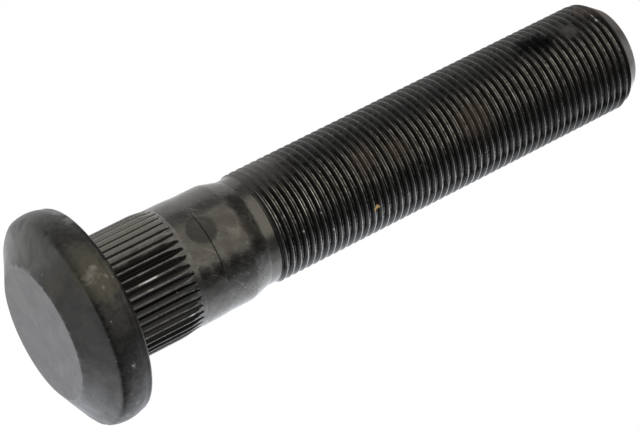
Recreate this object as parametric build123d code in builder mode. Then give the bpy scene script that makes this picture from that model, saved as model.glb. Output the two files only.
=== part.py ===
"""Wheel stud for a heavy hub: button head, serrated press-fit shank, neck and fine right-hand thread.

One forging, standing on the face of its head. The axis is +Z and the origin is the middle of the face.
"""
import os
from math import cos, radians, sin, tan

from build123d import *

# Button head: a flat face, a shallow cone round it and a barrelled rim
head_d = 40.7
head_height = 10.4
face_d = 25.8
cone_height = 4.0
rim_edge_d = 39.6
back_edge_round = 1.05
seat_fillet = 0.8

# Shank blank: it passes through the hub and keeps one diameter as far as a small step
blank_d = 23.25
blank_length = 20.9
step_length = 0.4

# Serrations, rolled so that narrow crests stand above the blank and the roots lie below it.
# Next to the head the crests start at once, and towards the shoulder they fade into the blank
serration_count = 45
serration_rise = 0.35
serration_bite = 0.15
serration_gap = 1.8
serration_length = 14.0
serration_lead = 0.6
serration_fade = 2.6
groove_end_gap = 0.4
groove_root_width = 0.24
groove_flank_angle = 47.0
groove_runout_angle = 32.0

# Shoulder behind the serrations, falling by a rounded taper to the neck
shoulder_d = 22.9
shoulder_length = 6.3
taper_length = 3.65
taper_round = 3.0
neck_d = 20.85
neck_length = 2.15

# Thread blank at its outer diameter, and the chamfered tip
thread_d = 21.75
thread_lead_in = 0.6
thread_length = 79.1
tip_d = 16.7
tip_chamfer_length = 3.4
tip_round = 3.0

# Heights along the axis, each from the one below it
seat_z = head_height
rim_back_z = seat_z - back_edge_round
rim_middle_z = (cone_height + rim_back_z) / 2
serration_start_z = seat_z + serration_gap
serration_end_z = serration_start_z + serration_length
blank_end_z = seat_z + blank_length
shoulder_start_z = blank_end_z + step_length
shoulder_end_z = shoulder_start_z + shoulder_length
neck_start_z = shoulder_end_z + taper_length
neck_end_z = neck_start_z + neck_length
thread_start_z = neck_end_z + thread_lead_in
thread_end_z = thread_start_z + thread_length
tip_z = thread_end_z + tip_chamfer_length

# Corner of the rim's back edge, where the seat begins
seat_outer_r = rim_edge_d / 2 - back_edge_round

# One rolled groove: a blunt V along the axis that rises out of the shank at both ends
serration_crest_d = blank_d + 2 * serration_rise
serration_root_d = blank_d - 2 * serration_bite
groove_depth = serration_rise + serration_bite
groove_reach = 2 * groove_depth
groove_root_half = groove_root_width / 2
groove_mouth_half = groove_root_half + groove_reach * tan(radians(groove_flank_angle))
groove_runout = groove_reach / sin(radians(groove_runout_angle))
runout_out = sin(radians(groove_runout_angle))
runout_along = cos(radians(groove_runout_angle))

with BuildPart() as serration_groove:
    with BuildSketch(Plane.XY.offset(serration_start_z + serration_lead)) as groove_section:
        with Locations((serration_root_d / 2, 0)):
            Polygon(
                (0, -groove_root_half),
                (groove_reach, -groove_mouth_half),
                (groove_reach, groove_mouth_half),
                (0, groove_root_half),
                align=None,
            )
    extrude(amount=serration_length - serration_lead - groove_end_gap)
    groove_ends = faces().filter_by(Axis.Z).sort_by(Axis.Z)
    extrude(groove_ends[0], amount=groove_runout, dir=(runout_out, 0, -runout_along))
    extrude(groove_ends[-1], amount=groove_runout, dir=(runout_out, 0, runout_along))

with BuildPart() as wheel_stud:
    with BuildSketch(Plane.XZ) as half_section:
        with BuildLine() as outline:
            # Face and cone
            Polyline((0, 0), (face_d / 2, 0), (rim_edge_d / 2, cone_height))
            # Barrelled rim and its rounded back edge
            rim = ThreePointArc(
                (rim_edge_d / 2, cone_height),
                (head_d / 2, rim_middle_z),
                (rim_edge_d / 2, rim_back_z),
            )
            TangentArc(rim @ 1, (seat_outer_r, seat_z), tangent=rim % 1)
            # Seat under the head, shank blank, raised serration crests, step, shoulder, taper and neck
            FilletPolyline(
                (seat_outer_r, seat_z),
                (blank_d / 2, seat_z),
                (blank_d / 2, serration_start_z),
                (serration_crest_d / 2, serration_start_z + serration_lead),
                (serration_crest_d / 2, serration_end_z - serration_fade),
                (blank_d / 2, serration_end_z),
                (blank_d / 2, blank_end_z),
                (shoulder_d / 2, shoulder_start_z),
                (shoulder_d / 2, shoulder_end_z),
                (neck_d / 2, neck_start_z),
                (neck_d / 2, neck_end_z),
                radius=[seat_fillet, 0, 0, 0, 0, 0, 0, taper_round, taper_round],
            )
            # Thread blank, chamfered tip and flat end
            FilletPolyline(
                (neck_d / 2, neck_end_z),
                (thread_d / 2, thread_start_z),
                (thread_d / 2, thread_end_z),
                (tip_d / 2, tip_z),
                (0, tip_z),
                radius=[0, tip_round, 0],
            )
            Line((0, tip_z), (0, 0))
        make_face()
    revolve(axis=Axis.Z)
    with PolarLocations(0, serration_count):
        add(serration_groove.part, mode=Mode.SUBTRACT)

wheel_stud.part.label = "wheel_stud"
os.makedirs("parts", exist_ok=True)
export_step(wheel_stud.part, "parts/wheel_stud.step")
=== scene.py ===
from math import atan2, cos, pi, radians, sin, sqrt, tan

import bpy
import numpy as np
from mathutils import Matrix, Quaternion, Vector


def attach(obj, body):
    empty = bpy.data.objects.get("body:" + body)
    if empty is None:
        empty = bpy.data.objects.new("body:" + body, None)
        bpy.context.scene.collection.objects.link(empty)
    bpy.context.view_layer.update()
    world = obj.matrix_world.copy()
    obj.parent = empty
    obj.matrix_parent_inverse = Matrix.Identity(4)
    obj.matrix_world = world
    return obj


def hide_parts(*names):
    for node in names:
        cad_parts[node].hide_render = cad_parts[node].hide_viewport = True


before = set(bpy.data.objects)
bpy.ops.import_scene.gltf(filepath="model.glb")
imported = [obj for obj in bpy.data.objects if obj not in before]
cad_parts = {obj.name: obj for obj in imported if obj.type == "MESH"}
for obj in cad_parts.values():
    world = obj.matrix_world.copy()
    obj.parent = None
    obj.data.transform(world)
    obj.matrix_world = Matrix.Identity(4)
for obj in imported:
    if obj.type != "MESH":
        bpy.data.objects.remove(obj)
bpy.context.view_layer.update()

# Button head: the end of the bar upset in a die to a flat face, a shallow cone and a barrelled rim.
# It is the same steel as the rest, blackened and oiled. The die leaves its edge wavy, and handling
# nicks it and rounds it on one side.
mm = 0.001
head_radius = 20.33
head_height = 10.4
face_radius = 12.9
face_edge_round = 0.25
cone_height = 4.0
rim_edge_radius = 19.8
crease_round = 0.5
worn_crease_round = 2.2
back_edge_round = 1.05
seat_fillet = 0.8
blank_radius = 11.625
forged_unevenness = 0.07
crease_waver = 0.2
face_hollow = 0.02
face_inner_radius = 1.5

points = []
faces = []
finishes = []
serration_count = 45
serration_step = 2 * pi / serration_count
serration_places = np.radians([0.0, 0.6, 1.9, 3.1, 3.58, 4.0, 4.42, 4.9, 6.1, 7.4])
forging_angles = (serration_step * np.arange(serration_count)[:, None] + serration_places).ravel()


def add_ring(angles, radius, height):
    """Adds one ring of points round the axis, sizes in millimetres, and gives their numbers."""
    first = len(points)
    radius = np.broadcast_to(radius, angles.shape)
    height = np.broadcast_to(height, angles.shape)
    ring = np.stack([radius * np.cos(angles), radius * np.sin(angles), height], axis=1)
    points.extend(map(tuple, ring * mm))
    return list(range(first, first + len(angles)))


def join_rings(lower, upper, finish):
    """Joins two rings of as many points with four-sided faces that look outwards."""
    for i in range(len(lower)):
        after = (i + 1) % len(lower)
        faces.append((lower[i], lower[after], upper[after], upper[i]))
        finishes.append(finish)


def rounded_outline(corners, steps=5):
    """Points along an outline of (radius, height, rounding) corners, with an arc at each rounded one."""
    line = []
    for i, (radius, height, rounding) in enumerate(corners):
        corner = Vector((radius, height))
        if rounding == 0:
            line.append(corner)
            continue
        back = (Vector(corners[i - 1][:2]) - corner).normalized()
        ahead = (Vector(corners[i + 1][:2]) - corner).normalized()
        half = back.angle(ahead) / 2
        centre = corner + (back + ahead).normalized() * rounding / sin(half)
        start = corner + back * rounding / tan(half) - centre
        end = corner + ahead * rounding / tan(half) - centre
        for step in range(steps + 1):
            line.append(centre + rounding * start.slerp(end, step / steps))
    return line


def uneven(angles, height, seed):
    """A smooth random value between 0 and 1 round a ring, changing slowly along the axis."""
    rng = np.random.default_rng(seed)
    total = np.zeros_like(angles)
    for wave in range(1, 15):
        phase = rng.uniform(0, 2 * pi)
        drift = rng.normal(0, 0.35)
        size = rng.normal(0, 1)
        total = total + size / sqrt(wave) * np.cos(wave * angles + phase + drift * height)
    return 0.5 + 0.5 * np.tanh(total / 2.5)


def dented(angles, height, radius, dents):
    """How far a few dents, each at an angle and a height with a width and a depth, press a ring in."""
    total = np.zeros_like(angles)
    for dent_angle, dent_height, width, depth in dents:
        around = radius * np.abs((angles - dent_angle + pi) % (2 * pi) - pi)
        total = total + depth * np.exp(-(around ** 2 + (height - dent_height) ** 2) / width ** 2)
    return total


rim_top = head_height - back_edge_round
rim_half_height = (rim_top - cone_height) / 2
rim_middle = cone_height + rim_half_height
rim_bulge = head_radius - rim_edge_radius
rim_arc_radius = (rim_half_height ** 2 + rim_bulge ** 2) / (2 * rim_bulge)
rim_arc_centre = head_radius - rim_arc_radius
rim_line = []
for share in np.linspace(-0.70, 0.95, 13):
    rise = share * rim_half_height
    rim_line.append((rim_arc_centre + sqrt(rim_arc_radius ** 2 - rise ** 2), rim_middle + rise, 0))
cone_line = []
for share in (0.15, 0.3, 0.45, 0.6, 0.75, 0.87):
    cone_line.append((face_radius + (rim_edge_radius - face_radius) * share, cone_height * share, 0))


def head_outline(rounding):
    """Outline of the head from its face to the shank, with one rounding of the crease round the cone."""
    return rounded_outline([
        (face_radius * 0.93, 0.0, 0),
        (face_radius, 0.0, face_edge_round),
        *cone_line,
        (rim_edge_radius, cone_height, rounding),
        *rim_line,
        (rim_edge_radius, head_height, back_edge_round),
        (rim_edge_radius - 2 * back_edge_round, head_height, 0),
        (blank_radius + 4.0, head_height, 0),
        (blank_radius, head_height, seat_fillet),
        (blank_radius, head_height + 1.2, 0),
    ])


rng = np.random.default_rng(7)
head_dents = []
for n in range(60):
    dent_height = rng.choice([rng.normal(cone_height, 0.3), rng.uniform(1.0, rim_top)])
    head_dents.append((
        rng.uniform(0, 2 * pi), dent_height, rng.uniform(0.35, 1.1), rng.uniform(0.02, 0.07),
    ))

ring = add_ring(forging_angles, face_inner_radius, face_hollow)
centre_point = len(points)
points.append((0.0, 0.0, face_hollow * mm))
for i in range(len(ring)):
    faces.append((centre_point, ring[(i + 1) % len(ring)], ring[i]))
    finishes.append("head")
for share in (0.35, 0.6, 0.8):
    outer = add_ring(forging_angles, face_radius * share, face_hollow * (1 - share ** 2))
    join_rings(ring, outer, "head")
    ring = outer
worn_side = np.clip((-np.cos(forging_angles) - 0.2) / 0.6, 0, 1)
for sharp, worn in zip(head_outline(crease_round), head_outline(worn_crease_round)):
    height = sharp[1]
    radius = sharp[0] + (worn[0] - sharp[0]) * worn_side
    shown = min(1.0, height / 1.5) * (height < head_height - 0.1)
    press = forged_unevenness * uneven(forging_angles, height, 3)
    press = press + dented(forging_angles, height, head_radius, head_dents)
    near_crease = np.exp(-((height - cone_height) / 1.2) ** 2)
    lift = crease_waver * shown * (uneven(forging_angles, 0, 4) - 0.5) * near_crease
    lift = lift + (worn[1] - sharp[1]) * worn_side
    outer = add_ring(forging_angles, radius - press * shown, max(height, 0.0) + lift)
    join_rings(ring, outer, "head")
    ring = outer


def put(tree, kind, inputs, **settings):
    """Adds a shader node with its settings, and sets its inputs or links them to other nodes' outputs."""
    node = tree.nodes.new(kind)
    for name, value in settings.items():
        setattr(node, name, value)
    for name, value in inputs.items():
        if isinstance(value, bpy.types.NodeSocket):
            tree.links.new(value, node.inputs[name])
        else:
            node.inputs[name].default_value = value
    return node


def ranged(tree, value, low, high, to_low=0.0, to_high=1.0):
    """Stretches a value from one range to another and keeps it there."""
    inputs = {"Value": value, "From Min": low, "From Max": high, "To Min": to_low, "To Max": to_high}
    return put(tree, "ShaderNodeMapRange", inputs).outputs["Result"]


def mixed(tree, share, first, second):
    """Mixes two colours by a mask."""
    return put(tree, "ShaderNodeMix", {0: share, 6: first, 7: second}, data_type="RGBA").outputs[2]


def combined(tree, first, second, operation):
    """One arithmetic step on two values."""
    return put(tree, "ShaderNodeMath", {0: first, 1: second}, operation=operation).outputs[0]


def new_group(name, takes, gives):
    """An empty node group with the named inputs, all values but for the place, and masks as outputs."""
    group = bpy.data.node_groups.new(name, "ShaderNodeTree")
    for socket in takes:
        kind = "NodeSocketVector" if socket in ("Place", "Centre") else "NodeSocketFloat"
        group.interface.new_socket(socket, in_out="INPUT", socket_type=kind)
    for socket in gives:
        group.interface.new_socket(socket, in_out="OUTPUT", socket_type="NodeSocketFloat")
    return group, group.nodes.new("NodeGroupInput").outputs, group.nodes.new("NodeGroupOutput").inputs


# Black oxide: cloudy where the bath and the oil lie unevenly, mottled by handling, with a fine grain
oxide_group, taken, given = new_group("black_oxide", ["Place"], ["Cloud", "Mottle", "Grain"])
for output, scale, detail, distortion, low, high in (
    ("Cloud", 0.22, 4.0, 0.6, 0.32, 0.68),
    ("Mottle", 0.9, 5.0, 0.3, 0.30, 0.70),
    ("Grain", 3.6, 3.0, 0.0, 0.25, 0.75),
):
    noise = put(oxide_group, "ShaderNodeTexNoise", {
        "Vector": taken["Place"], "Scale": scale, "Detail": detail,
        "Roughness": 0.62, "Distortion": distortion,
    })
    oxide_group.links.new(ranged(oxide_group, noise.outputs["Fac"], low, high), given[output])

# Distance from the axis, as a mask that rises from a low radius to a high one
radius_group, taken, given = new_group("distance_from_axis", ["Place", "Low", "High"], ["Mask", "Distance"])
flat = put(radius_group, "ShaderNodeVectorMath", {0: taken["Place"], 1: (1, 1, 0)}, operation="MULTIPLY")
reach = put(radius_group, "ShaderNodeVectorMath", {0: flat.outputs[0]}, operation="LENGTH").outputs["Value"]
radius_group.links.new(ranged(radius_group, reach, taken["Low"], taken["High"]), given["Mask"])
radius_group.links.new(reach, given["Distance"])

# Upper side: the stud lay on a shelf with -X uppermost, and dust drifted on to it there. The same mask
# also places painted shade and highlights by side. The place round the stud runs from 1 at that side to -1
# at the other
upper_group, taken, given = new_group("upper_side", ["Place", "Low", "High"], ["Mask"])
flat = put(upper_group, "ShaderNodeVectorMath", {0: taken["Place"], 1: (1, 1, 0)}, operation="MULTIPLY")
around = put(upper_group, "ShaderNodeVectorMath", {0: flat.outputs[0]}, operation="NORMALIZE").outputs[0]
upward = put(upper_group, "ShaderNodeVectorMath", {0: around, 1: (-1, 0, 0)}, operation="DOT_PRODUCT")
drift = put(upper_group, "ShaderNodeTexNoise", {"Vector": taken["Place"], "Scale": 0.35, "Detail": 4.0})
drift = ranged(upper_group, drift.outputs["Fac"], 0.3, 0.7, -0.12, 0.12)
upward = combined(upper_group, upward.outputs["Value"], drift, "ADD")
upper_group.links.new(ranged(upper_group, upward, taken["Low"], taken["High"]), given["Mask"])

# Stain: a ragged patch round one place
stain_group, taken, given = new_group(
    "stain", ["Place", "Centre", "Reach", "Raggedness", "Softness"], ["Mask"],
)
ragged = put(stain_group, "ShaderNodeTexNoise", {
    "Vector": taken["Place"], "Scale": 0.8, "Detail": 5.0, "Roughness": 0.68,
}).outputs["Fac"]
ragged = ranged(stain_group, ragged, 0.25, 0.75, -1.0, 1.0)
ragged = combined(stain_group, ragged, taken["Raggedness"], "MULTIPLY")
ends = {0: taken["Place"], 1: taken["Centre"]}
away = put(stain_group, "ShaderNodeVectorMath", ends, operation="DISTANCE").outputs["Value"]
away = combined(stain_group, away, ragged, "ADD")
away = combined(stain_group, away, taken["Reach"], "SUBTRACT")
inside = combined(stain_group, away, taken["Softness"], "DIVIDE")
stain_group.links.new(ranged(stain_group, inside, 0.5, -0.5), given["Mask"])

# Dust specks: tiny scattered spots, most of them missing
speck_group, taken, given = new_group("dust_specks", ["Place", "Spots Per Millimetre", "Size"], ["Mask"])
spots = put(speck_group, "ShaderNodeTexVoronoi", {
    "Vector": taken["Place"], "Scale": taken["Spots Per Millimetre"], "Randomness": 1.0,
})
chosen = put(speck_group, "ShaderNodeSeparateColor", {"Color": spots.outputs["Color"]})
size = ranged(speck_group, chosen.outputs[0], 0.55, 1.0)
size = combined(speck_group, size, taken["Size"], "MULTIPLY")
speck = combined(speck_group, size, spots.outputs["Distance"], "SUBTRACT")
speck_group.links.new(ranged(speck_group, speck, 0.0, 0.05), given["Mask"])


def mask_of(tree, group, **inputs):
    """Puts one of the groups above into a material, with its own values, and gives its first mask."""
    node = tree.nodes.new("ShaderNodeGroup")
    node.node_tree = group
    for name, value in inputs.items():
        socket = node.inputs[name.replace("_", " ")]
        if isinstance(value, bpy.types.NodeSocket):
            tree.links.new(value, socket)
        else:
            socket.default_value = value
    return node.outputs[0]


def at_radius(tree, place, low, high):
    """Mask that rises from one distance from the axis to another."""
    return mask_of(tree, radius_group, Place=place, Low=low, High=high)


def upper_side(tree, place, low, high):
    """Mask that rises between two places round the stud, 1 at its upper side and -1 at its lower."""
    return mask_of(tree, upper_group, Place=place, Low=low, High=high)


def strongest(tree, *masks):
    """The strongest of several masks at each point."""
    total = masks[0]
    for mask in masks[1:]:
        total = combined(tree, total, mask, "MAXIMUM")
    return total


def stain_mask(tree, place, strength, stains):
    """Ragged patches, each with its centre, reach, raggedness and softness, together as one mask."""
    patches = []
    for centre, reach, raggedness, softness in stains:
        patch = {"Centre": centre, "Reach": reach, "Raggedness": raggedness, "Softness": softness}
        patches.append(mask_of(tree, stain_group, Place=place, **patch))
    return ranged(tree, strongest(tree, *patches), 0.0, 1.0, 0.0, strength)


def start_finish(name):
    """A new steel finish, with the place on the stud in millimetres and the oxide's unevenness."""
    finish = bpy.data.materials.new(name)
    finish.use_nodes = True
    tree = finish.node_tree
    where = put(tree, "ShaderNodeTexCoord", {}).outputs["Object"]
    place = put(tree, "ShaderNodeVectorMath", {0: where, "Scale": 1000.0}, operation="SCALE").outputs[0]
    oxide = tree.nodes.new("ShaderNodeGroup")
    oxide.node_tree = oxide_group
    tree.links.new(place, oxide.inputs["Place"])
    return finish, tree, place, oxide.outputs


def end_finish(tree, colour, metal, roughness, height, depth):
    """Links a finish to its shader, with bumps of a depth in millimetres."""
    shader = tree.nodes["Principled BSDF"]
    bump = put(tree, "ShaderNodeBump", {"Height": height, "Strength": 1.0, "Distance": depth * mm})
    tree.links.new(colour, shader.inputs["Base Color"])
    tree.links.new(metal, shader.inputs["Metallic"])
    tree.links.new(roughness, shader.inputs["Roughness"])
    tree.links.new(bump.outputs["Normal"], shader.inputs["Normal"])


# The head is dull from the die, darker on the rim, with brown dust, pale specks and edges rubbed bare.
# Painted shade darkens the crease round the cone and the rim's back edge, and a painted highlight lightens
# the face's edge
speck_dust = (0.30, 0.29, 0.26, 1)
head_finish, tree, place, oxide = start_finish("head_steel")
colour = mixed(tree, oxide["Cloud"], (0.070, 0.069, 0.067, 1), (0.105, 0.104, 0.102, 1))
sharp_rim = at_radius(tree, place, rim_edge_radius - 0.4, rim_edge_radius + 0.1)
worn_rim = at_radius(tree, place, rim_edge_radius - 1.6, rim_edge_radius + 0.5)
worn = upper_side(tree, place, 0.2, 0.7)
rim = put(tree, "ShaderNodeMix", {0: worn, 2: sharp_rim, 3: worn_rim}).outputs[0]
rim_steel = mixed(tree, oxide["Mottle"], (0.036, 0.035, 0.034, 1), (0.076, 0.075, 0.072, 1))
colour = mixed(tree, rim, colour, rim_steel)
height = put(tree, "ShaderNodeSeparateXYZ", {0: place}).outputs["Z"]
face = ranged(tree, height, 0.15, 0.03)
face_steel = mixed(tree, oxide["Mottle"], (0.122, 0.120, 0.122, 1), (0.142, 0.140, 0.142, 1))
colour = mixed(tree, face, colour, face_steel)
# The face's rounded edge is lighter: partly rubbed wear, partly a painted highlight
face_edge_rub_and_highlight = at_radius(tree, place, face_radius - 0.45, face_radius - 0.2)
face_edge_rub_and_highlight = combined(tree, face_edge_rub_and_highlight, ranged(tree, oxide["Mottle"], 0.45, 0.7), "MULTIPLY")
face_edge_rub_and_highlight = combined(tree, face_edge_rub_and_highlight, ranged(tree, height, 0.35, 0.15), "MULTIPLY")
colour = mixed(tree, ranged(tree, face_edge_rub_and_highlight, 0.0, 1.0, 0.0, 0.6), colour, (0.20, 0.20, 0.20, 1))
# Painted shade: a broken dark line along the crease between the cone and the rim, left off the upper side
crease_shade = ranged(tree, height, cone_height - 0.3, cone_height)
crease_shade = combined(tree, crease_shade, ranged(tree, height, cone_height + 0.75, cone_height + 0.25), "MULTIPLY")
crease_shade = combined(tree, crease_shade, ranged(tree, oxide["Mottle"], 0.2, 0.7, 0.85, 0.3), "MULTIPLY")
crease_shade = combined(tree, crease_shade, upper_side(tree, place, 0.75, 0.15), "MULTIPLY")
colour = mixed(tree, crease_shade, colour, (0.020, 0.019, 0.018, 1))
# Painted shade: the rim's rounded back edge is darkened
back_edge_shade = ranged(tree, height, head_height - 1.2, head_height - 0.4, 0.0, 0.8)
colour = mixed(tree, back_edge_shade, colour, (0.022, 0.020, 0.018, 1))
olive = stain_mask(tree, place, 0.7, [((-8.6, -18.2, 5.8), 3.4, 2.2, 3.0)])
colour = mixed(tree, olive, colour, (0.054, 0.050, 0.030, 1))
brown = stain_mask(tree, place, 0.55, [
    ((-4.6, -19.4, 6.6), 3.6, 2.6, 2.4),
    ((-7.0, -13.5, 1.6), 1.8, 1.4, 2.4),
])
colour = mixed(tree, brown, colour, (0.092, 0.083, 0.050, 1))
pale = stain_mask(tree, place, 0.6, [
    ((-6.9, -18.9, 6.8), 0.5, 0.6, 0.5),
    ((-3.2, -19.8, 6.9), 0.35, 0.45, 0.4),
    ((-4.6, -19.6, 8.4), 0.3, 0.4, 0.4),
    ((-5.6, -19.3, 5.6), 0.8, 1.4, 1.6),
])
colour = mixed(tree, pale, colour, (0.27, 0.255, 0.225, 1))
specks = mask_of(tree, speck_group, Place=place, Spots_Per_Millimetre=0.75, Size=0.14)
colour = mixed(tree, specks, colour, speck_dust)
bare_and_painted_lower_side = stain_mask(tree, place, 0.7, [
    ((16.9, -9.8, 6.9), 0.6, 1.0, 0.6),
    ((18.4, -6.1, 5.1), 0.8, 1.2, 0.6),
    ((-18.1, -8.5, 9.9), 1.2, 1.6, 1.0),
    ((-16.0, -11.6, 9.6), 0.9, 1.4, 0.8),
    ((-18.8, 0.1, 5.5), 1.0, 1.6, 0.8),
])
colour = mixed(tree, bare_and_painted_lower_side, colour, (0.20, 0.20, 0.195, 1))
nicks = stain_mask(tree, place, 0.8, [((11.3, -16.9, 6.4), 0.35, 0.8, 0.4)])
colour = mixed(tree, nicks, colour, (0.42, 0.42, 0.43, 1))
metal = ranged(tree, strongest(tree, olive, brown, pale, specks), 0.0, 1.0, 0.92, 0.0)
roughness = ranged(tree, oxide["Cloud"], 0.0, 1.0, 0.46, 0.36)
relief = combined(tree, oxide["Mottle"], oxide["Grain"], "ADD")
end_finish(tree, colour, metal, roughness, relief, 0.012)

# Serrated shank: fine straight teeth rolled along the bar, which bite into the hub when it is pressed in.
# Rolling raises narrow crests above the bar and presses the roots below it.
serration_start = 12.2
serration_end = serration_start + 14.0
serration_lead = 0.6
serration_fade = 2.6
groove_end_gap = 0.1
serration_crest = 11.97
serration_root = 11.475
groove_root_half = 0.12
groove_flank = tan(radians(50.5))
groove_runout = tan(radians(45.0))
crest_rounding = 0.03
crest_waver = 0.05
end_waver = 0.5
end_slant = 0.7


def serrated_radius(height):
    """Radius round the shank at one height: the bar, its raised crests and the grooves between them."""
    each = np.repeat(np.random.default_rng(11).uniform(0, 1, serration_count), len(serration_places))
    end = serration_end - end_waver * each + end_slant * np.maximum(0, -np.cos(forging_angles))
    rise = np.minimum((height - serration_start) / serration_lead, (end - height) / serration_fade)
    crest = serration_crest - crest_waver * (0.4 * each + 0.6 * uneven(forging_angles * 3, height * 3, 5))
    top = blank_radius + (crest - blank_radius) * np.clip(rise, 0, 1)
    offset = (forging_angles + serration_step / 2) % serration_step - serration_step / 2
    aside = np.maximum(0, np.abs(serration_root * np.sin(offset)) - groove_root_half)
    past = np.maximum(serration_start + serration_lead - height, height - end + groove_end_gap)
    groove = serration_root + np.maximum(past, 0) * groove_runout + aside / groove_flank
    blend = np.clip(0.5 + 0.5 * (top - groove) / crest_rounding, 0, 1)
    return top * (1 - blend) + groove * blend - crest_rounding * blend * (1 - blend)


serration_heights = [
    serration_start - 0.2,
    *np.linspace(serration_start, serration_start + serration_lead, 4),
    *np.linspace(serration_start + serration_lead, serration_end - serration_fade, 11)[1:],
    *np.linspace(serration_end - serration_fade, serration_end - 1.2, 3)[1:],
    *np.linspace(serration_end - 1.2, serration_end + 0.8, 13)[1:],
]
for height in serration_heights:
    outer = add_ring(forging_angles, serrated_radius(height), height)
    join_rings(ring, outer, "serrations")
    ring = outer

# Black grime lies in the grooves. The crests are rubbed, a few of them with bright polished streaks that
# are also painted glints, and dust lies on the upper side
serration_finish, tree, place, oxide = start_finish("serrated_steel")
clean = at_radius(tree, place, serration_root + 0.005, serration_root + 0.125)
height = put(tree, "ShaderNodeSeparateXYZ", {0: place}).outputs["Z"]
fade_start = serration_end - serration_fade
fallen = ranged(tree, height, fade_start, serration_end, 0.0, serration_crest - blank_radius)
rubbed = combined(tree, clean.node.outputs["Distance"], fallen, "ADD")
rubbed = ranged(tree, rubbed, serration_crest - 0.11, serration_crest - 0.04)
rubbed = combined(tree, rubbed, ranged(tree, oxide["Mottle"], 0.0, 1.0, 0.4, 1.0), "MULTIPLY")
colour = mixed(tree, clean, (0.012, 0.011, 0.010, 1), (0.031, 0.030, 0.028, 1))
colour = mixed(tree, rubbed, colour, (0.170, 0.167, 0.160, 1))
# Polished streaks on a few crests: partly worn bright steel, partly painted glints
polish_and_glint = stain_mask(tree, place, 1.0, [
    ((-0.5, -11.97, 17.3), 1.2, 0.5, 1.4),
    ((-0.5, -11.97, 18.8), 0.6, 0.5, 1.0),
    ((8.8, -8.1, 23.5), 0.6, 0.3, 0.6),
])
polish_and_glint_colour = mixed(tree, polish_and_glint, colour, (0.75, 0.74, 0.72, 1))
colour = mixed(tree, rubbed, colour, polish_and_glint_colour)
dust = upper_side(tree, place, 0.40, 0.65)
dust = combined(tree, dust, ranged(tree, oxide["Grain"], 0.0, 1.0, 0.4, 0.8), "MULTIPLY")
dust = combined(tree, dust, clean, "MULTIPLY")
colour = mixed(tree, dust, colour, (0.225, 0.214, 0.197, 1))
specks = mask_of(tree, speck_group, Place=place, Spots_Per_Millimetre=0.8, Size=0.12)
colour = mixed(tree, specks, colour, speck_dust)
metal = ranged(tree, strongest(tree, dust, specks), 0.0, 1.0, 0.98, 0.15)
roughness = ranged(tree, oxide["Grain"], 0.0, 1.0, 0.30, 0.18)
end_finish(tree, colour, metal, roughness, oxide["Grain"], 0.018)

# Shoulder and neck: the plain bar behind the teeth, turned down by a small step to the shoulder,
# then a rounded taper to a short neck. The step shows on one side only and fades round the bar.
step_height = 31.45
step_length = 0.3
step_mark = 0.06
step_bend = 0.45
step_slant = 0.3
shoulder_radius = 11.45
taper_start = 38.0
taper_length = 3.65
taper_round = 2.4
neck_radius = 10.425
neck_start = taper_start + taper_length
shoulder_waver = 0.02
shoulder_outline = rounded_outline([
    (blank_radius, serration_end + 1.2, 0),
    (blank_radius, serration_end + 2.2, 0),
    (blank_radius, serration_end + 3.6, 0),
    (blank_radius, step_height - 0.25, 0),
    (blank_radius, step_height, 0.12),
    (shoulder_radius - step_mark, step_height + step_length, 0.1),
    (shoulder_radius, step_height + 2 * step_length, 0.2),
    (shoulder_radius, step_height + 2.0, 0),
    (shoulder_radius, taper_start - 2.8, 0),
    (shoulder_radius, taper_start - 1.2, 0),
    (shoulder_radius, taper_start, taper_round),
    ((shoulder_radius + neck_radius) / 2, taper_start + taper_length / 2, 0),
    (neck_radius, neck_start, 0.8),
    (neck_radius, neck_start + 0.9, 0),
], steps=4)
# The step is sharp within about 38 degrees of the front, and beyond that the bar falls gently
step_side = forging_angles + pi / 2
step_shown = np.clip((np.cos(step_side + 0.11) - 0.79) / 0.05, 0, 1)
for radius, height in shoulder_outline:
    if height < step_height + 1.9:
        gentle = np.clip((height - step_height + 1.0) / 2.4, 0, 1)
        gentle = blank_radius + (shoulder_radius - blank_radius) * gentle
        radius = radius * step_shown + gentle * (1 - step_shown)
    near_step = np.exp(-((height - step_height) / 1.0) ** 2)
    bend = near_step * (step_bend * (1 - np.cos(step_side)) + step_slant * np.sin(step_side))
    waver = shoulder_waver * uneven(forging_angles, height, 8)
    outer = add_ring(forging_angles, radius - waver, height + bend)
    join_rings(ring, outer, "shoulder")
    ring = outer

# Scratches: long thin lines at a slant to the axis, rubbed through the oil
scratch_group, taken, given = new_group("scratches", ["Place", "Slant", "Width"], ["Mask"])
slanted = put(scratch_group, "ShaderNodeVectorRotate", {
    "Vector": taken["Place"], "Angle": taken["Slant"],
}, rotation_type="Y_AXIS").outputs[0]
drawn = put(scratch_group, "ShaderNodeVectorMath", {0: slanted, 1: (0.12, 0.12, 2.2)}, operation="MULTIPLY")
lines = put(scratch_group, "ShaderNodeTexNoise", {"Vector": drawn.outputs[0], "Scale": 1.0, "Detail": 1.0})
from_line = combined(scratch_group, lines.outputs["Fac"], 0.58, "SUBTRACT")
from_line = put(scratch_group, "ShaderNodeMath", {0: from_line}, operation="ABSOLUTE").outputs[0]
scratch_group.links.new(ranged(scratch_group, from_line, taken["Width"], 0.0), given["Mask"])

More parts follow.
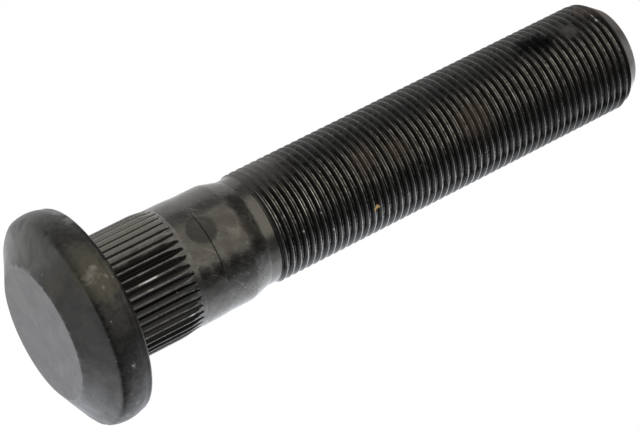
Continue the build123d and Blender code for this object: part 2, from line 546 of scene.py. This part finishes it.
# It is smooth, oily and brownish, dark on the taper and pale on the neck, with painted shade on the
# neck's upper side, scratches, smears and a round dark mark
painted_neck_shade = (0.06, 0.057, 0.05, 1)
shoulder_finish, tree, place, oxide = start_finish("shoulder_steel")
colour = mixed(tree, oxide["Cloud"], (0.082, 0.080, 0.074, 1), (0.135, 0.131, 0.122, 1))
colour = mixed(tree, ranged(tree, oxide["Mottle"], 0.6, 0.95, 0.0, 0.4), colour, (0.05, 0.046, 0.038, 1))
scratches = mask_of(tree, scratch_group, Place=place, Slant=0.75, Width=0.016)
colour = mixed(tree, ranged(tree, scratches, 0.0, 1.0, 0.0, 0.7), colour, (0.24, 0.235, 0.225, 1))
mark = stain_mask(tree, place, 0.6, [((-4.31, -10.60, 31.2), 2.85, 0.25, 0.5)])
colour = mixed(tree, mark, colour, (0.022, 0.022, 0.022, 1))
smear = stain_mask(tree, place, 0.5, [
    ((0.4, -11.4, 34.3), 1.0, 1.3, 1.2),
    ((-1.0, -11.0, 39.4), 2.2, 2.4, 2.0),
    ((-4.3, -10.6, 35.6), 1.4, 1.4, 1.0),
])
colour = mixed(tree, smear, colour, (0.085, 0.066, 0.050, 1))
pale = stain_mask(tree, place, 0.5, [((-1.3, -11.4, 36.7), 1.0, 1.4, 1.0)])
colour = mixed(tree, pale, colour, (0.22, 0.20, 0.18, 1))
black = stain_mask(tree, place, 0.6, [
    ((-5.9, -8.8, 40.6), 1.2, 1.4, 1.0),
    ((-1.2, -10.5, 39.1), 1.2, 1.6, 1.0),
    ((-3.9, -9.9, 40.2), 1.3, 1.6, 1.0),
    ((2.9, -11.2, 27.8), 1.4, 1.8, 1.2),
    ((3.2, -11.0, 31.0), 1.2, 1.8, 1.2),
    ((3.2, -11.0, 34.5), 1.3, 1.8, 1.2),
])
colour = mixed(tree, black, colour, (0.018, 0.017, 0.015, 1))
neck = at_radius(tree, place, neck_radius + 0.175, neck_radius + 0.055)
# Painted shade: the neck is darker on its upper side
neck_steel = mixed(tree, upper_side(tree, place, 0.35, 0.75), (0.130, 0.128, 0.116, 1), painted_neck_shade)
colour = mixed(tree, neck, colour, neck_steel)
taper = at_radius(tree, place, shoulder_radius - 0.09, shoulder_radius - 0.3)
taper = combined(tree, taper, neck, "SUBTRACT")
taper = combined(tree, taper, upper_side(tree, place, -0.5, -0.1), "MULTIPLY")
taper = combined(tree, taper, ranged(tree, oxide["Mottle"], 0.2, 0.8, 0.95, 0.35), "MULTIPLY")
colour = mixed(tree, taper, colour, (0.028, 0.025, 0.020, 1))
specks = mask_of(tree, speck_group, Place=place, Spots_Per_Millimetre=0.7, Size=0.12)
colour = mixed(tree, specks, colour, speck_dust)
dust = upper_side(tree, place, 0.5, 0.95)
dust = combined(tree, dust, ranged(tree, oxide["Mottle"], 0.0, 1.0, 0.5, 0.9), "MULTIPLY")
colour = mixed(tree, dust, colour, (0.075, 0.071, 0.064, 1))
metal = ranged(tree, strongest(tree, smear, dust, specks), 0.0, 1.0, 0.96, 0.1)
roughness = ranged(tree, oxide["Cloud"], 0.0, 1.0, 0.28, 0.19)
relief = combined(tree, oxide["Mottle"], scratches, "ADD")
end_finish(tree, colour, metal, roughness, relief, 0.014)

# Threaded end: a fine right-hand thread rolled on the bar, 22 mm across with 1.5 mm between turns.
# Rolling leaves its crests and roots round. The thread rises out of the neck and ends in the tip's chamfer.
pitch = 1.5
thread_radius = 10.87
thread_depth = 0.73
root_radius = 0.32
first_crest = 44.91
thread_start = neck_start + 1.8
thread_full = neck_start + 2.75
thread_end = 123.5
tip_radius = 8.35
tip_height = 126.9
tip_round = 3.0
thread_stop = 125.3
merge_reach = 0.02
crest_wear = 0.02
turn_points = 75
turn_stations = [(-0.09, 0.06), (-0.036, 0.003), (0.036, 0.003), (0.09, 0.06)]
for turn in (-54, -36, -18, 0, 18, 36, 54):
    across = root_radius * sin(radians(turn))
    rise = root_radius * (1 - cos(radians(turn)))
    turn_stations.append((pitch / 2 + across, thread_depth - rise))
grease_depth = 0.14
grease_patches = [
    (radians(-167), 47.8, 5.6),
    (radians(-130), 116.4, 1.6),
    (radians(-52), 64.7, 0.6),
]
tip_slope = (thread_radius - tip_radius) / (tip_height - thread_end)
tip_turn = atan2(thread_radius - tip_radius, tip_height - thread_end)
tip_round_start = thread_end - tip_round * tan(tip_turn / 2)
tip_round_end = tip_round_start + tip_round * sin(tip_turn)


def tip_envelope(height):
    """Largest radius at a height: the thread's own, then the rounded chamfer of the tip."""
    along = np.clip(height - tip_round_start, 0, tip_round * sin(tip_turn))
    arc = thread_radius - tip_round + np.sqrt(tip_round ** 2 - along ** 2)
    return np.where(height > tip_round_end, thread_radius - tip_slope * (height - thread_end), arc)


def greased(angles, heights):
    """How far, from 0 to 1, old grease fills the grooves of the thread at each point."""
    fill = np.zeros_like(angles)
    for patch_angle, patch_height, reach in grease_patches:
        around = thread_radius * np.abs((angles - patch_angle + pi) % (2 * pi) - pi)
        ragged = 0.6 * reach * (uneven(angles * 2, heights * 2, 31) - 0.5)
        away = np.hypot(around, heights - patch_height) - ragged
        fill = np.maximum(fill, np.clip(1.5 - away / reach, 0, 1))
    return fill


def threaded_radius(heights, depth):
    """Radius of the thread at each point, with its run-out at the neck and its chamfered tip."""
    fill = greased(thread_angles, heights)
    depth = depth + fill * np.minimum(grease_depth - depth, 0)
    grown = np.clip((heights - thread_start) / (thread_full - thread_start), 0, 1)
    grown = grown * grown * (3 - 2 * grown)
    cut = neck_radius + (thread_radius - depth - neck_radius) * grown
    return np.minimum(cut, tip_envelope(heights))


thread_angles = 2 * pi * np.arange(turn_points) / turn_points
stations = len(turn_stations)
neck_end_ring = add_ring(thread_angles, neck_radius - shoulder_waver / 2, thread_start)
chamfer_ring = add_ring(thread_angles, tip_envelope(np.full(turn_points, thread_stop)), thread_stop)
rows = []
for turn in range(-3, int((thread_stop - first_crest) / pitch) + 2):
    for offset, depth in turn_stations:
        heights = first_crest + pitch * (turn + thread_angles / (2 * pi)) + offset
        worn = depth + crest_wear * uneven(thread_angles * 3, heights * 4, 21)
        row = np.array(add_ring(thread_angles, threaded_radius(heights, worn), heights))
        row = np.where(heights <= thread_start + merge_reach, neck_end_ring, row)
        rows.append(np.where(heights >= thread_stop - merge_reach, chamfer_ring, row))
for number in range(len(rows) - 1):
    for i in range(turn_points):
        if i + 1 < turn_points:
            right = (rows[number][i + 1], rows[number + 1][i + 1])
        elif number + 1 + stations < len(rows):
            right = (rows[number + stations][0], rows[number + 1 + stations][0])
        else:
            right = (chamfer_ring[0], chamfer_ring[0])
        loop = [rows[number][i], right[0], right[1], rows[number + 1][i]]
        loop = [int(p) for n, p in enumerate(loop) if p != loop[n - 1]]
        if len(set(loop)) > 2:
            faces.append(tuple(loop))
            finishes.append("thread")

# The neck's close ring of points joins the thread's wider one
wide = len(forging_angles) // turn_points
for i in range(turn_points):
    after = (i + 1) % turn_points
    close = [ring[(wide * i + n) % len(ring)] for n in range(wide + 1)]
    faces.append((*close, neck_end_ring[after], neck_end_ring[i]))
    finishes.append("shoulder")

# The flanks are black, and the crests are rubbed bright. The roots carry a painted highlight along the
# front and the lower side, where the crests also carry a painted bluish sheen and the grooves painted
# shade.
# Dust dulls the upper side, and oil darkens the lower one towards the tip
oil_start = 86.0
oil_full = 108.0
turned_start = thread_end + 0.55
turned_full = thread_end + 0.95
chamfer_dust = (0.135, 0.120, 0.112, 1)
root_bottom = thread_radius - thread_depth
thread_finish, tree, place, oxide = start_finish("threaded_steel")
height = put(tree, "ShaderNodeSeparateXYZ", {0: place}).outputs["Z"]
worn = ranged(tree, combined(tree, oxide["Mottle"], oxide["Grain"], "ADD"), 0.65, 1.4)
steel = mixed(tree, worn, (0.07, 0.068, 0.063, 1), (0.74, 0.72, 0.68, 1))
steel = mixed(tree, ranged(tree, oxide["Cloud"], 0.0, 1.0, 0.0, 0.4), steel, (0.18, 0.168, 0.138, 1))
# Lower side of the thread: painted shade in its grooves and a painted bluish sheen on its crests
bare_and_painted_lower_side = upper_side(tree, place, -0.4, -0.8)
flank = at_radius(tree, place, thread_radius - 0.52, thread_radius - 0.07)
groove = mixed(tree, bare_and_painted_lower_side, (0.018, 0.017, 0.016, 1), (0.007, 0.007, 0.007, 1))
colour = mixed(tree, flank, groove, (0.060, 0.058, 0.054, 1))
# Painted highlight on the roots, along the front and, more weakly, the lower side
painted_root_highlight = upper_side(tree, place, -0.45, -0.10)
painted_root_highlight = combined(tree, painted_root_highlight, upper_side(tree, place, 0.35, 0.65), "SUBTRACT")
painted_root_highlight = strongest(tree, painted_root_highlight, ranged(tree, bare_and_painted_lower_side, 0.0, 1.0, 0.0, 0.45))
# The roots turn bright where that painted highlight falls
root = at_radius(tree, place, root_bottom + 0.04, root_bottom + 0.005)
root = combined(tree, root, ranged(tree, painted_root_highlight, 0.0, 1.0, 0.0, 0.56), "MULTIPLY")
colour = mixed(tree, root, colour, steel)
rubbed = at_radius(tree, place, thread_radius - 0.055, thread_radius - 0.01)
# Painted sheen: the crests turn pale bluish on the lower side
steel = mixed(tree, ranged(tree, bare_and_painted_lower_side, 0.0, 1.0, 0.0, 0.75), steel, (0.56, 0.565, 0.58, 1))
colour = mixed(tree, rubbed, colour, steel)
run_out = ranged(tree, height, thread_full - 0.15, thread_start + 0.25)
# Painted shade: the run-out is darker on its upper side, as the neck is
run_out_steel = mixed(tree, upper_side(tree, place, 0.35, 0.75), (0.115, 0.113, 0.102, 1), painted_neck_shade)
colour = mixed(tree, run_out, colour, run_out_steel)
turned = ranged(tree, height, turned_start, turned_full)
turned_steel = mixed(tree, oxide["Mottle"], (0.115, 0.105, 0.098, 1), (0.20, 0.186, 0.175, 1))
colour = mixed(tree, turned, colour, turned_steel)
turned_dust = combined(tree, turned, upper_side(tree, place, 0.0, 0.4), "MULTIPLY")
colour = mixed(tree, turned_dust, colour, chamfer_dust)
oil = ranged(tree, height, oil_start, oil_full, 0.0, 0.35)
oil = combined(tree, oil, upper_side(tree, place, 0.15, -0.15), "MULTIPLY")
oil = combined(tree, oil, ranged(tree, turned, 1.0, 0.0), "MULTIPLY")
colour = mixed(tree, oil, colour, (0.020, 0.019, 0.018, 1))
# Polished streaks on a few crests: partly worn bright steel, partly painted glints
polish_and_glint = stain_mask(tree, place, 1.0, [
    ((-0.4, -10.86, 51.9), 1.7, 1.2, 1.0),
    ((-0.7, -10.83, 50.5), 0.8, 0.8, 0.8),
    ((0.5, -10.85, 53.5), 0.8, 0.8, 0.8),
    ((0.9, -10.83, 52.0), 1.0, 0.2, 0.4),
    ((-1.9, -10.70, 52.0), 0.5, 0.2, 0.3),
    ((-0.4, -10.86, 98.5), 0.9, 0.8, 0.8),
    ((-0.6, -10.85, 113.6), 0.3, 0.2, 0.2),
    ((-0.4, -10.85, 109.3), 0.3, 0.2, 0.2),
])
polish_and_glint_colour = mixed(tree, polish_and_glint, colour, (0.85, 0.83, 0.79, 1))
colour = mixed(tree, rubbed, colour, polish_and_glint_colour)
rust = stain_mask(tree, place, 0.5, [
    ((-2.3, -10.5, 65.8), 2.6, 2.6, 3.0),
    ((-1.3, -10.8, 72.7), 2.2, 2.4, 2.6),
    ((0.0, -10.85, 89.5), 3.4, 2.8, 3.0),
])
colour = mixed(tree, rust, colour, (0.085, 0.056, 0.034, 1))
end_rust = stain_mask(tree, place, 0.6, [((-9.3, -5.6, 123.4), 2.6, 1.2, 1.2)])
colour = mixed(tree, end_rust, colour, (0.15, 0.092, 0.06, 1))
grime = stain_mask(tree, place, 0.95, [
    ((-7.7, -7.6, 109.3), 2.4, 1.8, 1.6),
    ((-8.1, -7.2, 107.4), 2.2, 1.8, 1.6),
    ((-7.0, -8.3, 111.0), 1.4, 1.6, 1.4),
])
colour = mixed(tree, grime, colour, (0.006, 0.006, 0.007, 1))
dust = upper_side(tree, place, 0.40, 0.62)
dust = combined(tree, dust, ranged(tree, oxide["Mottle"], 0.3, 0.7, 0.1, 0.9), "MULTIPLY")
dust = combined(tree, dust, strongest(tree, grime, turned), "SUBTRACT")
dust = ranged(tree, dust, 0.0, 1.0)
colour = mixed(tree, dust, colour, (0.012, 0.011, 0.010, 1))
dull = stain_mask(tree, place, 0.85, [
    ((-9.8, -4.6, 47.5), 6.0, 2.4, 2.6),
    ((-6.9, -8.4, 116.7), 1.6, 1.2, 1.2),
])
colour = mixed(tree, dull, colour, (0.058, 0.053, 0.046, 1))
flake = stain_mask(tree, place, 1.0, [((6.7, -8.6, 64.7), 0.65, 0.2, 0.3)])
colour = mixed(tree, flake, colour, (0.90, 0.60, 0.24, 1))
chips = stain_mask(tree, place, 1.0, [
    ((-7.3, -8.0, 122.6), 0.42, 0.3, 0.2),
    ((-6.2, -8.9, 122.6), 0.46, 0.3, 0.2),
    ((7.0, -8.3, 72.1), 0.4, 0.3, 0.2),
    ((2.7, -10.5, 53.3), 0.25, 0.1, 0.2),
    ((4.3, -10.0, 49.0), 0.25, 0.1, 0.2),
    ((6.5, -8.7, 55.0), 0.25, 0.1, 0.2),
])
colour = mixed(tree, chips, colour, (0.60, 0.59, 0.52, 1))
specks = mask_of(tree, speck_group, Place=place, Spots_Per_Millimetre=0.6, Size=0.11)
colour = mixed(tree, specks, colour, speck_dust)
dirt = strongest(tree, dust, dull, flake, chips, specks, rust, end_rust, turned_dust)
metal = ranged(tree, dirt, 0.0, 1.0, 1.0, 0.05)
roughness = ranged(tree, strongest(tree, root, rubbed, bare_and_painted_lower_side, run_out), 0.0, 1.0, 0.5, 0.16)
end_finish(tree, colour, metal, roughness, oxide["Grain"], 0.006)

# Tip: the end of the bar, sawn flat, with a chamfer turned after the thread was rolled.
# The cut steel was blackened with the rest, but it is paler, and the chamfer is dusty on its upper side.
ring = chamfer_ring
tip_outline = rounded_outline([
    (tip_envelope(np.array(thread_stop + 0.6)).item(), thread_stop + 0.6, 0),
    (tip_radius, tip_height, 0.3),
    (tip_radius * 0.6, tip_height, 0),
    (tip_radius * 0.2, tip_height, 0),
], steps=4)
for radius, height in tip_outline:
    outer = add_ring(thread_angles, radius, height)
    join_rings(ring, outer, "tip")
    ring = outer
faces.append(tuple(ring))
finishes.append("tip")

tip_finish, tree, place, oxide = start_finish("tip_steel")
colour = mixed(tree, oxide["Mottle"], (0.095, 0.091, 0.086, 1), (0.20, 0.193, 0.186, 1))
dust = upper_side(tree, place, 0.0, 0.4)
dust = combined(tree, dust, at_radius(tree, place, tip_radius - 0.35, tip_radius + 0.05), "MULTIPLY")
colour = mixed(tree, dust, colour, chamfer_dust)
rust = stain_mask(tree, place, 0.7, [((-8.6, -4.6, 125.4), 2.8, 1.2, 2.0)])
colour = mixed(tree, rust, colour, (0.17, 0.105, 0.072, 1))
metal = ranged(tree, strongest(tree, rust, dust), 0.0, 1.0, 0.9, 0.05)
roughness = ranged(tree, oxide["Cloud"], 0.0, 1.0, 0.45, 0.32)
end_finish(tree, colour, metal, roughness, oxide["Grain"], 0.006)

# The whole stud: one forging, so one mesh. Each length of it carries its own finish on its faces,
# and edges that turn sharply stay crisp.
used = sorted({p for face in faces for p in face})
renumbered = {old: new for new, old in enumerate(used)}
stud_mesh = bpy.data.meshes.new("wheel_stud_forging")
stud_mesh.from_pydata([points[p] for p in used], [], [[renumbered[p] for p in face] for face in faces])
finish_names = ["head", "serrations", "shoulder", "thread", "tip"]
for finish in (head_finish, serration_finish, shoulder_finish, thread_finish, tip_finish):
    stud_mesh.materials.append(finish)
stud_mesh.polygons.foreach_set("material_index", [finish_names.index(name) for name in finishes])
stud_mesh.shade_smooth()
stud_mesh.set_sharp_from_angle(angle=radians(24))
stud = bpy.data.objects.new("wheel_stud_forging", stud_mesh)
bpy.context.scene.collection.objects.link(stud)
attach(stud, "root")
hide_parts("wheel_stud")

# Floor: a sheet of white paper under the stud, a hair below its face. It shows from above only,
# and takes the stud's shadow.
floor_half = 2.0
floor_drop = 0.0002
floor_mesh = bpy.data.meshes.new("paper_floor")
floor_corners = [
    (-floor_half, -floor_half, 0),
    (floor_half, -floor_half, 0),
    (floor_half, floor_half, 0),
    (-floor_half, floor_half, 0),
]
floor_mesh.from_pydata(floor_corners, [], [(0, 1, 2, 3)])
floor = bpy.data.objects.new("paper_floor", floor_mesh)
floor.location.z = -floor_drop
bpy.context.scene.collection.objects.link(floor)
paper = bpy.data.materials.new("white_paper")
paper.use_nodes = True
tree = paper.node_tree
tree.nodes.clear()
clear = put(tree, "ShaderNodeBsdfTransparent", {})
white = put(tree, "ShaderNodeBsdfDiffuse", {"Color": (0.85, 0.85, 0.85, 1)})
seen = put(tree, "ShaderNodeLightPath", {}).outputs["Is Camera Ray"]
below = put(tree, "ShaderNodeNewGeometry", {}).outputs["Backfacing"]
above = put(tree, "ShaderNodeMath", {0: seen, 1: below}, operation="SUBTRACT", use_clamp=True).outputs[0]
sheet = put(tree, "ShaderNodeMixShader", {0: above, 1: clear.outputs[0], 2: white.outputs[0]})
put(tree, "ShaderNodeOutputMaterial", {"Surface": sheet.outputs[0]})
floor_mesh.materials.append(paper)

# Studio: white paper all round, which the steel shows, and a plain level of light from everywhere.
# A warm softbox stands in front with darker gaps beside it, a cool one to the right, a dim ceiling above.
world = bpy.data.worlds.new("studio")
bpy.context.scene.world = world
world.use_nodes = True
tree = world.node_tree
tree.nodes.clear()
light = put(tree, "ShaderNodeBackground", {"Color": (1, 1, 1, 1), "Strength": 0.45})
backdrop = put(tree, "ShaderNodeBackground", {"Color": (1, 1, 1, 1), "Strength": 1.0})
path = put(tree, "ShaderNodeLightPath", {})
seen = combined(tree, path.outputs["Is Camera Ray"], path.outputs["Is Glossy Ray"], "MAXIMUM")
seen = combined(tree, seen, path.outputs["Is Transmission Ray"], "MAXIMUM")
sky = put(tree, "ShaderNodeMixShader", {0: seen, 1: light.outputs[0], 2: backdrop.outputs[0]})
put(tree, "ShaderNodeOutputWorld", {"Surface": sky.outputs[0]})
bpy.context.scene.view_settings.view_transform = "Standard"

studio_middle = Vector((0, 0, 0.06))


def toward(bearing, rise):
    """Direction from the stud at a bearing round it, 0 to the front and 90 to its right, and a rise."""
    bearing = radians(bearing)
    rise = radians(rise)
    return Vector((sin(bearing) * cos(rise), -cos(bearing) * cos(rise), sin(rise)))


def add_panel(name, bottom, top, rises, distance, level, colour):
    """A curved sheet that the steel shows, between two bearings at its bottom and two at its top."""
    rows = 8
    columns = 16
    corners = []
    for share in np.linspace(0, 1, rows + 1):
        left = bottom[0] + (top[0] - bottom[0]) * share
        right = bottom[1] + (top[1] - bottom[1]) * share
        rise = rises[0] + (rises[1] - rises[0]) * share
        for bearing in np.linspace(left, right, columns + 1):
            corners.append(studio_middle + toward(bearing, rise) * distance)
    cells = []
    for row in range(rows):
        first = row * (columns + 1)
        for i in range(first, first + columns):
            cells.append((i, i + 1, i + columns + 2, i + columns + 1))
    sheet = bpy.data.meshes.new(name)
    sheet.from_pydata(corners, [], cells)
    panel = bpy.data.objects.new(name, sheet)
    bpy.context.scene.collection.objects.link(panel)
    cloth = bpy.data.materials.new(name)
    cloth.use_nodes = True
    cloth.node_tree.nodes.clear()
    glow = put(cloth.node_tree, "ShaderNodeEmission", {"Color": (*colour, 1), "Strength": level})
    put(cloth.node_tree, "ShaderNodeOutputMaterial", {"Surface": glow.outputs[0]})
    sheet.materials.append(cloth)
    panel.visible_camera = False
    panel.visible_diffuse = False
    panel.visible_shadow = False


all_round = (-180, 180)
white = (1.0, 1.0, 1.0)
add_panel("front_softbox", (-80, 30), (-58, 24), (-8, 50), 0.90, 1.0, (1.0, 0.96, 0.88))
add_panel("left_gap", (-100, -45), (-100, -45), (-30, 60), 0.92, 0.3, white)
add_panel("right_gap", (20, 62), (20, 62), (-30, 60), 0.92, 0.15, white)
add_panel("side_edge", (60, 90), (60, 90), (-45, 50), 0.94, 0.7, (0.92, 0.945, 1.0))
add_panel("side_softbox", (88, 176), (88, 176), (-45, 50), 0.90, 1.5, (0.92, 0.945, 1.0))
add_panel("side_gap", (60, 125), (60, 125), (-32, -2), 0.88, 0.12, white)
add_panel("back_card", (-178, -120), (-178, -120), (-45, 10), 0.94, 1.25, white)
add_panel("back_gap", (-180, -100), (-180, -100), (42, 88), 0.96, 0.12, white)
add_panel("low_front", (-100, 100), (-100, 100), (-56, -7), 0.96, 0.25, white)
add_panel("ceiling", (-115, 115), (-115, 115), (51, 90), 1.0, 0.12, white)
add_panel("low_card", all_round, all_round, (-90, -55), 1.0, 0.5, white)

# Key light: a soft square lamp to the left and above, as wide as a window. It lights the dust
# and the smears, and isn't seen in the steel.
key_data = bpy.data.lights.new("key_light", "AREA")
key_data.shape = "SQUARE"
key_data.size = 1.0
key_data.energy = 7.0
key_light = bpy.data.objects.new("key_light", key_data)
bpy.context.scene.collection.objects.link(key_light)
key_way = toward(-75, 30)
key_light.location = studio_middle + key_way * 1.2
key_light.rotation_euler = key_way.to_track_quat("Z", "Y").to_euler()
key_light.visible_camera = False
key_light.visible_glossy = False

# Camera: low in front of the stud, looking up along it from the head, and turned on its side.
# Its lens is long, so the stud narrows only a little towards the tip.
camera_place = Vector((-18.171, -522.331, -171.635)) * mm
camera_aim = Vector((3.342, -0.138, 57.556)) * mm
camera_roll = radians(63.122)
camera_data = bpy.data.cameras.new("camera")
camera_data.lens = 175.85
camera_data.sensor_width = 36.0
camera_data.clip_start = 0.01
camera = bpy.data.objects.new("camera", camera_data)
bpy.context.scene.collection.objects.link(camera)
camera.location = camera_place
camera.rotation_mode = "QUATERNION"
aimed = (camera_aim - camera_place).to_track_quat("-Z", "Y")
camera.rotation_quaternion = aimed @ Quaternion((0, 0, 1), camera_roll)
bpy.context.scene.camera = camera

bpy.context.view_layer.update()
